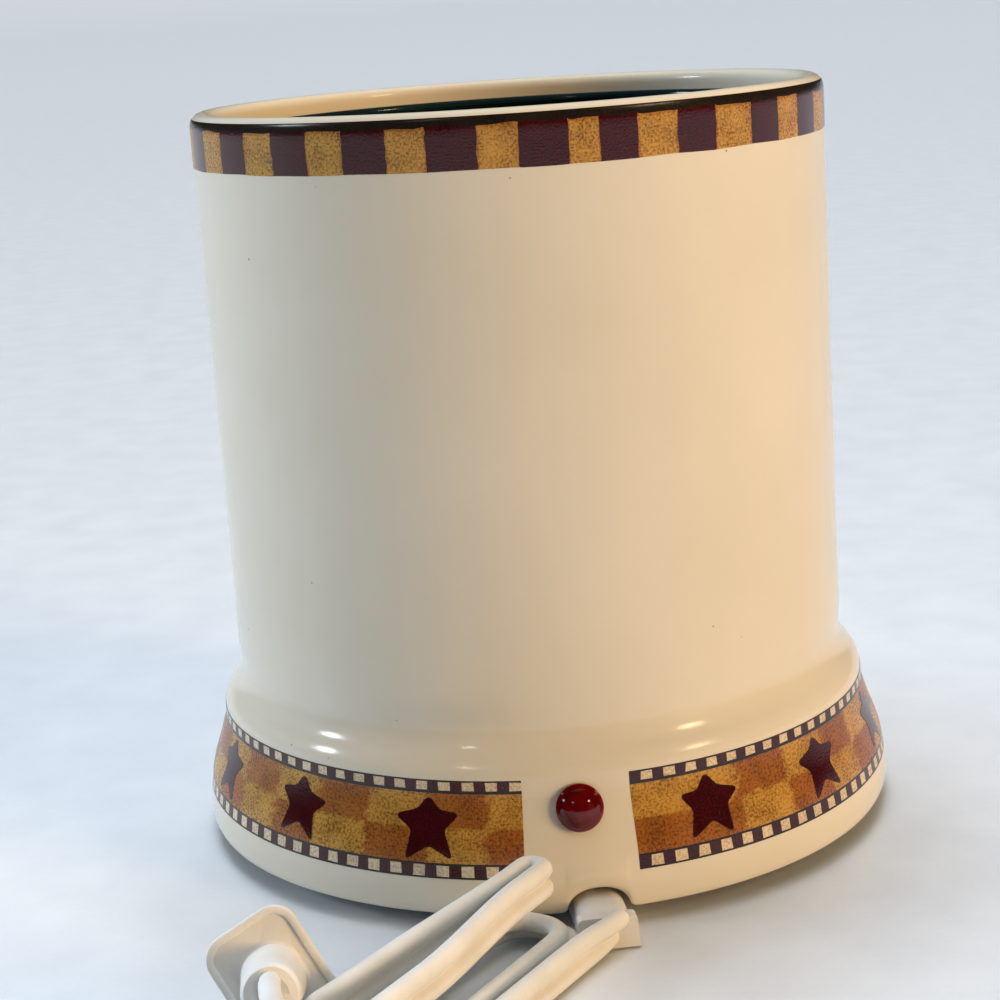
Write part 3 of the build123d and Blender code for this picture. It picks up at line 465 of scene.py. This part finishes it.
# Base band: gold and rust burlap between two strips of checks, with a gap for the pilot lamp and the notch
baseBand = {
    "startTurn": 6.35, "endTurn": 349.3, "fieldStep": 0.7, "checkPitch": 3.8, "splitZ": 20.9,
    "fieldHeights": [
        14.4, 15.2, 16.2, 17.2, 18.2, 19.2, 20.2, 20.6, 21.2, 21.6, 22.6, 23.6, 24.6, 25.6, 26.6, 27.5,
    ],
    "upperStrip": (27.5, 28.15, 29.85, 30.2), "lowerStrip": (11.4, 11.8, 13.95, 14.4),
    # edges of the blocks to the right and left of the lamp, even blocks behind, and which upper ones are rust
    "rightEdges": [6.35, 14.6, 24.8, 35.0, 45.2, 55.4, 65.6, 75.8],
    "leftEdges": [282.7, 292.9, 303.1, 313.2, 323.5, 334.0, 343.7], "behind": 20,
    "rightRust": [0, 0, 1, 0, 1, 0, 1], "leftRust": [0, 1, 0, 1, 0, 1, 0],
}
behind = baseBand["behind"]
lastRight, firstLeft = baseBand["rightEdges"][-1], baseBand["leftEdges"][0]
blockEdges = list(baseBand["rightEdges"])
blockEdges += [lastRight + (firstLeft - lastRight) * (i + 1) / behind for i in range(behind - 1)]
blockEdges += baseBand["leftEdges"] + [baseBand["endTurn"]]
upperRust = baseBand["rightRust"] + [i % 2 for i in range(behind)] + baseBand["leftRust"]
bandSpan = baseBand["endTurn"] - baseBand["startTurn"]
fieldCount = int(bandSpan / baseBand["fieldStep"]) + 1
fieldTurns = [baseBand["startTurn"] + baseBand["fieldStep"] * i for i in range(fieldCount)]
fieldTurns.append(baseBand["endTurn"])
fieldHeights = baseBand["fieldHeights"]


def blockAt(turn):
    for k in range(len(blockEdges) - 1):
        if turn <= blockEdges[k + 1]:
            return min(k, len(upperRust) - 1)
    return len(upperRust) - 1


def fieldRust(i, j):
    turn = fieldTurns[j] + jitter(i, j * 0.5, 1.2)
    height = fieldHeights[i] + jitter(i * 0.7, j * 0.2, 0.8)
    block = blockAt(turn)
    rusty = upperRust[block] if height > baseBand["splitZ"] else 1 - upperRust[block]
    return 0.9 * rusty + 0.05  # neither tint is quite pure


laidSheet("baseField", fieldTurns, fieldHeights, [finishes["goldPrint"]], lambda i, j: 0, fieldRust)

checkCount = 2 * round(bandSpan / baseBand["checkPitch"])
checkStep = bandSpan / checkCount
checkTurns = [baseBand["startTurn"] + checkStep * i for i in range(checkCount + 1)]


def stripKind(i, j):
    return 0 if i != 1 else (1 if j % 2 == 0 else 2)


def stripShift(i, j):
    sideways = jitter(j * 0.9, i * 0.4, 0.22) if 0 < j < len(checkTurns) - 1 else 0
    return sideways, (jitter(j * 0.7, i, 0.12) if i in (1, 2) else 0)


stripFinishes = [finishes["linePrint"], finishes["maroonPrint"], finishes["squarePrint"]]
for name, strip in (("upperChecks", "upperStrip"), ("lowerChecks", "lowerStrip")):
    laidSheet(name, checkTurns, baseBand[strip], stripFinishes, stripKind, shift=stripShift)
print("base band laid")

# Rounded country stars, each a little different; their corners run clockwise from the top
stars = {
    "corners": [
        (0.0, 27.3), (2.2, 24.3), (7.1, 23.0), (3.6, 20.4), (4.6, 14.5), (-0.2, 17.9), (-5.5, 15.1),
        (-3.6, 20.4), (-6.6, 23.9), (-2.2, 24.4),
    ],
    "firstTurn": 19.1, "pitch": 24.24, "count": 14, "middleZ": 21.2, "fanZ": 20.6,
    "tipReach": 4.2, "tipRound": 1.7, "innerRound": 0.9, "roundSteps": 5,
    "rings": (0.2, 0.4, 0.6, 0.8, 1.0), "line": 0.22,
}


def starOutline(index):
    corners = []
    for k, (x, z) in enumerate(stars["corners"]):
        x += jitter(index * 3.1 + k, 2.5, 0.8)
        z += jitter(index * 2.3 + k, 7.5, 0.6)
        corners.append(Vector((x, z)))
    if index % 3 == 1:  # every third one is turned over
        corners = [Vector((-c.x, c.y)) for c in corners][::-1]
    outline = []
    count = len(corners)
    for k, here in enumerate(corners):
        before, after = corners[k - 1], corners[(k + 1) % count]
        tip = (here - Vector((0, stars["middleZ"]))).length > stars["tipReach"]
        reach = stars["tipRound"] if tip else stars["innerRound"]
        start = here + (before - here).normalized() * reach
        end = here + (after - here).normalized() * reach
        for step in range(stars["roundSteps"] + 1):
            t = step / stars["roundSteps"]
            outline.append(start * (1 - t) ** 2 + here * (2 * t * (1 - t)) + end * t ** 2)
    return outline


starPoints, starFaces, starKinds, starUvs = [], [], [], []
for index in range(stars["count"]):
    turn = stars["firstTurn"] + stars["pitch"] * index
    outline = starOutline(index)
    middle = Vector((0, stars["fanZ"]))
    count = len(outline)
    rings = [[middle + (p - middle) * share for p in outline] for share in stars["rings"]]
    outer = []
    for k, p in enumerate(outline):
        along = (outline[(k + 1) % count] - outline[k - 1]).normalized()
        outer.append(p + Vector((along.y, -along.x)) * stars["line"])
    ringIndexes = []
    for ring in [[middle]] + rings + [outer]:
        ringIndexes.append(list(range(len(starPoints), len(starPoints) + len(ring))))
        for p in ring:
            radius = shellRadius(p.y)
            pointTurn = turn + math.degrees(p.x / radius)
            starPoints.append(aroundAxis(radius + printBand["starProud"], pointTurn, p.y))
            starUvs.append(printPlace(turn, p.y, p.x))
    for k in range(count):
        m = (k + 1) % count
        starFaces.append((ringIndexes[0][0], ringIndexes[1][k], ringIndexes[1][m]))
        starKinds.append(0)
    for inner, outerRing, kind in zip(ringIndexes[1:], ringIndexes[2:], [0] * (len(rings) - 1) + [1]):
        for k in range(count):
            m = (k + 1) % count
            starFaces.append((inner[k], outerRing[k], outerRing[m], inner[m]))
            starKinds.append(kind)
starPiece = newPiece("maroonStars", starPoints, starFaces, [finishes["maroonPrint"], finishes["linePrint"]],
                     "crock", starKinds)
setPrintMap(starPiece, starUvs)
print("stars laid")

# Inner cup: spun steel with a rolled lip and a pressed bead in its floor
cup = {
    "outside": [
        (0.0, 40.3), (30.0, 40.3), (55.2, 40.3), (58.2, 40.9), (60.8, 42.5), (62.0, 44.8), (62.4, 47.5),
        (62.4, 80.0), (62.4, 120.0), (62.4, 153.6),
    ],
    "inside": [
        (61.2, 153.0), (61.2, 120.0), (61.2, 80.0), (61.2, 47.5), (60.8, 45.3), (59.6, 43.3), (57.6, 42.0),
        (55.2, 41.5), (50.0, 41.5), (48.5, 41.9), (47.0, 41.5), (30.0, 41.5), (0.0, 41.5),
    ],
    "lipRadius": 1.2, "lipMiddle": (61.2, 154.5), "turns": 192,
}


def evenNormals(piece, sharpAngle, joinDoubles=True):
    # join doubled points where asked, and turn every face outwards
    work = bmesh.new()
    work.from_mesh(piece.data)
    if joinDoubles:
        bmesh.ops.remove_doubles(work, verts=work.verts, dist=1e-6)
    bmesh.ops.recalc_face_normals(work, faces=work.faces)
    work.to_mesh(piece.data)
    work.free()
    piece.data.set_sharp_from_angle(angle=math.radians(sharpAngle))


def turnedPiece(name, outline, turnCount, materials, body, place=None, axes=None, sharpAngle=40):
    # turn an outline of (radius, height) about an axis: the crock's own, or the third of the axes given
    points = []
    for radius, height in outline:
        for k in range(turnCount):
            angle = 2 * math.pi * k / turnCount
            x, y, z = radius * math.cos(angle), radius * math.sin(angle), height
            if place is None:
                points.append((x, y, z))
            else:
                points.append(tuple(place + axes[0] * x + axes[1] * y + axes[2] * z))
    piece = newPiece(name, points, gridFaces(len(outline), turnCount, False, True), materials, body)
    evenNormals(piece, sharpAngle)
    return piece


lipArc = [
    (cup["lipMiddle"][0] + cup["lipRadius"] * math.cos(math.radians(a)),
     cup["lipMiddle"][1] + cup["lipRadius"] * math.sin(math.radians(a)))
    for a in range(-20, 241, 20)
]
cupOutline = cup["outside"] + lipArc + cup["inside"]
cupPiece = turnedPiece("spunCup", cupOutline, cup["turns"], [finishes["cup"]], "cup")
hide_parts("inner_cup")
print("cup spun")

# Pilot lamp: a moulded jewel with a barrel through the skirt; turn and slope in degrees
lamp = {
    "turn": -1.9, "z": 24.3, "surface": 72.8, "slope": 17.4, "gap": 0.4, "points": 64,
    "outline": [
        (0.0, 2.9), (1.0, 2.82), (2.0, 2.52), (3.0, 1.98), (3.6, 1.5), (3.95, 1.05), (4.1, 0.98),
        (4.45, 0.95), (4.7, 0.75), (4.76, 0.4), (4.7, 0.0), (3.7, 0.0), (3.7, -12.0), (2.8, -12.0),
        (2.8, -0.4), (2.0, -0.2), (0.0, 0.0),
    ],
    "hole": [(0, -12.0), (4.0, -12.0), (4.0, 4.0), (0, 4.0)], "holePoints": 48, "sharp": 35,
}
lampTurn = math.radians(lamp["turn"])
lampSlope = math.radians(lamp["slope"])
lampOut = Vector((math.sin(lampTurn), -math.cos(lampTurn), 0))
lampNormal = (lampOut * math.cos(lampSlope) + Vector((0, 0, math.sin(lampSlope)))).normalized()
lampAcross = Vector((-lampOut.y, lampOut.x, 0))
lampUp = lampNormal.cross(lampAcross)
lampPlace = lampOut * lamp["surface"] + Vector((0, 0, lamp["z"])) + lampNormal * lamp["gap"]
lampAxes = (lampAcross, lampUp, lampNormal)
lensPiece = turnedPiece("pilotJewel", lamp["outline"], lamp["points"], [finishes["lens"]], "crock", lampPlace,
                        lampAxes, lamp["sharp"])
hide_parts("pilot_lens")

# the hole through the skirt for the jewel's barrel
holeCutter = turnedPiece("holeCutter", lamp["hole"], lamp["holePoints"], [finishes["glaze"]], "crock",
                         lampPlace, lampAxes, lamp["sharp"])
cut = crockPiece.modifiers.new("lampHole", "BOOLEAN")
cut.object = holeCutter
cut.solver = "EXACT"
bpy.context.view_layer.update()
drilled = bpy.data.meshes.new_from_object(crockPiece.evaluated_get(bpy.context.evaluated_depsgraph_get()))
crockPiece.modifiers.clear()
crockPiece.data = drilled
bpy.data.objects.remove(holeCutter)
print("pilot lamp set")

# Flat cord: a two-conductor lead on edge, one line from the strain relief through the hank to the plug
cord = {
    "width": 7.6, "thick": 3.8, "web": 1.5, "length": 0.92,  # the length is in metres
    "heading": 52.3, "lobeSteps": 12, "resolution": 10,
}
heading = math.radians(cord["heading"])
hankOut = Vector((-math.cos(heading), -math.sin(heading), 0))
hankAcross = Vector((math.sin(heading), -math.cos(heading), 0))


def onHank(u, v, z):
    # u runs out from the crock along the hank, v across it
    return hankOut * u + hankAcross * v + Vector((0, 0, z))


plug = {
    "centre": (-63.5, -112.4, 13.9), "tilt": 20.0, "roll": 28.0, "gripLong": 27.0,
    # each ring: place along the axis from the flange's cord side, half short, half long, corner radius
    "rings": [
        (-3.0, 5.0, 6.5, 4.0), (-3.0, 8.3, 10.8, 4.1), (-2.9, 8.8, 11.3, 4.4), (-2.5, 9.0, 11.5, 4.5),
        (-0.45, 9.0, 11.5, 4.5), (-0.1, 8.85, 11.35, 4.4), (0.0, 8.55, 11.05, 4.2),
        (-0.02, 7.85, 10.35, 3.4), (-0.2, 7.6, 10.1, 3.2), (-0.7, 7.45, 9.95, 3.1), (-0.75, 5.9, 6.6, 4.9),
        (-0.3, 5.35, 6.0, 4.8), (2.0, 5.25, 5.85, 4.7), (6.0, 5.22, 5.75, 4.8), (12.0, 5.15, 5.5, 4.9),
        (18.0, 5.1, 5.3, 4.95), (24.0, 5.05, 5.12, 4.98), (26.2, 4.9, 4.95, 4.85), (26.9, 4.4, 4.5, 4.3),
        (27.0, 3.0, 3.2, 2.9), (25.5, 0.6, 0.6, 0.55),
    ],
    "ringPoints": 64, "sharp": 35,
}
plugTilt = math.radians(plug["tilt"])
plugRoll = math.radians(plug["roll"])
plugAxis = Vector((0, -math.cos(plugTilt), math.sin(plugTilt)))
plugRise = Vector((0, math.sin(plugTilt), math.cos(plugTilt)))
plugShort = Vector((math.cos(plugRoll), 0, 0)) + plugRise * math.sin(plugRoll)
plugLong = plugAxis.cross(plugShort)
gripEnd = Vector(plug["centre"]) + plugAxis * plug["gripLong"]

# each place: how far out, how far across, how high, and the lean of the flat section in degrees
routeOnHank = [
    (79, 52.9, 4.1, 0),
    # out along the left side and round the far end
    (97, 52.9, 4.1, 0), (130, 52.9, 4.3, 0), (170, 52.9, 4.6, 0), (195.2, 52.9, 4.6, 0),
    (195.2, 32.4, 4.6, 0),
    # back to the outer fold beside the crock, where it leans over
    (170, 32.4, 4.6, 0), (130, 32.4, 4.3, 0), (98, 32.4, 4.1, 0), (87.5, 32.4, 4.1, 15),
    (71.1, 32.6, 3.7, 42), (71.1, 48.0, 3.5, 50), (87.5, 48.4, 3.6, 45), (104, 48.6, 3.9, 25),
    # out and back again inside it
    (130, 48.8, 4.3, 0), (179.1, 48.8, 4.6, 0), (190.9, 48.8, 4.6, 0), (190.9, 36.9, 4.6, 0),
    (179.1, 36.9, 4.6, 0), (150, 36.9, 4.3, 0), (140.8, 36.9, 4.1, 0), (133.0, 36.9, 4.1, 0),
    (133.0, 44.6, 4.1, 0), (140.8, 44.6, 4.1, 0),
    # the upper layer climbs over the lower one
    (148, 44.6, 4.3, 0), (173, 44.6, 12.5, 0), (180.7, 44.6, 12.7, 0), (189.3, 44.6, 12.7, 0),
    (189.3, 36.0, 12.7, 0), (180.7, 36.0, 12.7, 0), (168, 36.0, 12.7, 0), (142, 44.6, 14.2, 0),
    (125, 44.6, 14.2, 0), (112, 44.6, 14.2, 0), (90, 43.5, 16.0, 0), (78.6, 43.5, 16.0, 0),
    (74.4, 43.5, 16.0, 0), (74.4, 39.2, 16.0, 0), (78.6, 39.2, 16.0, 0), (86, 39.0, 15.8, 0),
    (104, 34.2, 13.3, 0),
    # the tail drops to the table, goes round under the plug and rises to its grip
    (118, 33.0, 12.9, 0), (127, 31.4, 11.9, 0), (130, 28.4, 9.6, 0), (135.5, 26.6, 7.1, 0),
    (143, 25.2, 5.5, 0), (155, 23.8, 4.7, 0), (172, 23.0, 4.2, 0), (196, 24.5, 4.1, 0), (215, 34.0, 4.6, 0),
    (222, 52.0, 8.5, 0), (212, 68.0, 16.0, 0), (194, 70.0, 24.5, 0), (175, 59.0, 30.5, 0),
]
cordRoute = [(Vector((1.7, -85.6, 4.7)), -30), (Vector((0.4, -88.0, 4.5)), -22)]  # out of the strain relief
cordRoute += [(onHank(u, v, z), lean) for u, v, z, lean in routeOnHank]
cordRoute += [(gripEnd + plugAxis * 14, 0), (gripEnd - plugAxis * 2, 0)]

# the section: two round lobes joined by a web
lobe = cord["thick"] / 2
sideAngle = math.degrees(math.asin(cord["web"] / 2 / lobe))
sectionPoints = []
for lobeSide, startAngle in ((1, -90 + sideAngle), (-1, 90 + sideAngle)):
    for step in range(cord["lobeSteps"] + 1):
        angle = math.radians(startAngle + (360 - 2 * sideAngle) * step / cord["lobeSteps"])
        sectionPoints.append((lobe * math.cos(angle), lobeSide * lobe + lobe * math.sin(angle)))
sectionCurve = bpy.data.curves.new("cordSection", "CURVE")
sectionCurve.dimensions = "2D"
sectionSpline = sectionCurve.splines.new("POLY")
sectionSpline.points.add(len(sectionPoints) - 1)
for point, (x, y) in zip(sectionSpline.points, sectionPoints):
    point.co = (x / 1000, y / 1000, 0, 1)
sectionSpline.use_cyclic_u = True
sectionObject = bpy.data.objects.new("cordSection", sectionCurve)

cordCurve = bpy.data.curves.new("flatCord", "CURVE")
cordCurve.dimensions = "3D"
cordCurve.twist_mode = "Z_UP"
cordSpline = cordCurve.splines.new("NURBS")
cordSpline.points.add(len(cordRoute) - 1)
for point, (place, lean) in zip(cordSpline.points, cordRoute):
    point.co = (place.x / 1000, place.y / 1000, place.z / 1000, 1)
    point.tilt = math.radians(lean)
cordSpline.order_u = 3
cordSpline.use_endpoint_u = True
cordSpline.resolution_u = cord["resolution"]
cordCurve.bevel_mode = "OBJECT"
cordCurve.bevel_object = sectionObject
cordCurve.use_fill_caps = True
cordCurve.materials.append(finishes["cord"])
cordPiece = bpy.data.objects.new("flatCord", cordCurve)
scene.collection.objects.link(cordPiece)
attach(cordPiece, "crock")
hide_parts("cord_lead", "cord_hank", "cord_tail")
print("cord laid")


# Plug: moulded flange with a raised rim and a tapering grip
def roundedRing(halfShort, halfLong, corner):
    # points round a rounded rectangle, evenly spread over its corners
    ring = []
    perCorner = plug["ringPoints"] // 4
    for k, (sx, sy) in enumerate(((1, 1), (-1, 1), (-1, -1), (1, -1))):
        for step in range(perCorner):
            angle = math.radians(90 * k + 90 * step / (perCorner - 1))
            ring.append((sx * (halfShort - corner) + corner * math.cos(angle),
                         sy * (halfLong - corner) + corner * math.sin(angle)))
    return ring


plugPoints = []
for along, halfShort, halfLong, corner in plug["rings"]:
    for x, y in roundedRing(halfShort, halfLong, corner):
        plugPoints.append(tuple(Vector(plug["centre"]) + plugShort * x + plugLong * y + plugAxis * along))
plugFaces = gridFaces(len(plug["rings"]), plug["ringPoints"], False, True)
plugFaces.append(tuple(range(plug["ringPoints"])))
plugFaces.append(tuple(range(len(plugPoints) - plug["ringPoints"], len(plugPoints)))[::-1])
plugPiece = newPiece("mouldedPlug", plugPoints, plugFaces, [finishes["moulding"]])
evenNormals(plugPiece, plug["sharp"], False)
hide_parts("plug_body")
print("plug moulded")

# Nodes of the frame that keep their shape: the finish, and the radius of a small edge round
dressed = {
    "base_cover": ("blackPlastic", 0.3), "rubber_foot_1": ("rubber", 0.2), "rubber_foot_2": ("rubber", 0.2),
    "rubber_foot_3": ("rubber", 0.2), "rubber_foot_4": ("rubber", 0.2), "plate_gasket": ("gasket", 0.1),
    "heater_plate": ("plate", 0.15), "upper_mica": ("mica", 0), "heating_ribbon": ("ribbon", 0),
    "lower_mica": ("mica", 0), "insulation_pad": ("fibrePad", 0), "clamp_pan": ("steel", 0.15),
    "terminal_beads": ("bead", 0.2), "terminal_pins": ("brass", 0.15), "centre_stud": ("zinc", 0.1),
    "stud_washers": ("zinc", 0.1), "stud_nuts": ("zinc", 0.25),
    "lens_ring": ("zinc", 0.05), "pilot_bulb": ("bulb", 0),
    "lamp_resistor": ("resistor", 0.2), "thermal_fuse": ("plate", 0.1), "fuse_clip": ("steel", 0.05),
    "wire_splices": ("sleeve", 0.25), "supply_wire_1": ("cord", 0), "supply_wire_2": ("cord", 0),
    "fuse_lead_1": ("cord", 0), "fuse_lead_2": ("cord", 0), "element_lead": ("cord", 0),
    "lamp_lead_1": ("cord", 0), "lamp_lead_2": ("cord", 0),
    "strain_relief": ("moulding", 0.5), "cord_tie": ("paper", 0.1),
    "plug_blade_narrow": ("brass", 0.12), "plug_blade_wide": ("brass", 0.12),
}
edgeRound = {"steps": 3, "sharperThan": 40}
for nodeName, (finishName, roundMm) in dressed.items():
    node = nodes[nodeName]
    node.data.materials.clear()
    node.data.materials.append(finishes[finishName])
    if roundMm:
        soften = node.modifiers.new("edgeRound", "BEVEL")
        soften.width = roundMm / 1000
        soften.segments = edgeRound["steps"]
        soften.limit_method = "ANGLE"
        soften.angle_limit = math.radians(edgeRound["sharperThan"])
        soften.harden_normals = True
print("frame parts dressed")

# Table top, in metres: wide and plain, rising softly far behind
tableTop = {"rows": [(-4, 0), (60, 0), (75, 0.3), (90, 1.2), (105, 3.0)], "halfWide": 60}
tableMesh = bpy.data.meshes.new("tableTop")
tablePoints = [(x, y, z) for y, z in tableTop["rows"] for x in (-tableTop["halfWide"], tableTop["halfWide"])]
tableMesh.from_pydata(tablePoints, [], gridFaces(len(tableTop["rows"]), 2))
tableMesh.materials.append(mottledFinish("paleMattPaint", ("#d2d8de", "#dae0e5"), (0.3, 0.4), 1.5, 0.01))
table = bpy.data.objects.new("tableTop", tableMesh)
scene.collection.objects.link(table)

room = {"tint": "#d4dbe6", "strength": 0.03, "lightDistance": 3.0, "aimHeight": 0.08}
world = bpy.data.worlds.new("paleRoom")
world.use_nodes = True
background = world.node_tree.nodes["Background"]
background.inputs[0].default_value = colour(room["tint"])
background.inputs[1].default_value = room["strength"]
scene.world = world

lights = {
    # turn and rise that they come from, and spread, in degrees; strength; colour; whether gloss shows them
    "skylight": (180, 72, 34, 2.9, "#e4edf8", False),
    "ceiling": (0, 84, 50, 0.95, "#f2f3f2", False),
    "windowLeft": (-116, 6, 36, 3.6, "#e2efff", False),
    "warmRoom": (52, 10, 30, 3.3, "#ffd196", False),
    "windowGlint": (-96, 30, 7, 0.35, "#eef4ff", True),
    "lampGlint": (52, 35, 8, 0.3, "#ffe2b4", True),
    "hallGlint": (-38, 41, 2, 0.05, "#fff4e4", True),
}


def fromTurn(turn, rise, distance):
    rise = math.radians(rise)
    return Vector(aroundAxis(math.cos(rise) * distance, turn, math.sin(rise) * distance))


def addLight(name, place, energy, tint, spread, mirrored):
    lightData = bpy.data.lights.new(name, "SUN")
    lightData.energy = energy
    lightData.angle = math.radians(spread)
    lightData.color = colour(tint)[:3]
    lightObject = bpy.data.objects.new(name, lightData)
    lightObject.location = place
    aim = Vector((0, 0, room["aimHeight"])) - place
    lightObject.rotation_euler = aim.to_track_quat("-Z", "Y").to_euler()
    lightObject.visible_glossy = mirrored
    scene.collection.objects.link(lightObject)


for name, (turn, rise, spread, strength, tint, mirrored) in lights.items():
    addLight(name, fromTurn(turn, rise, room["lightDistance"]), strength, tint, spread, mirrored)
print("table and lights placed")
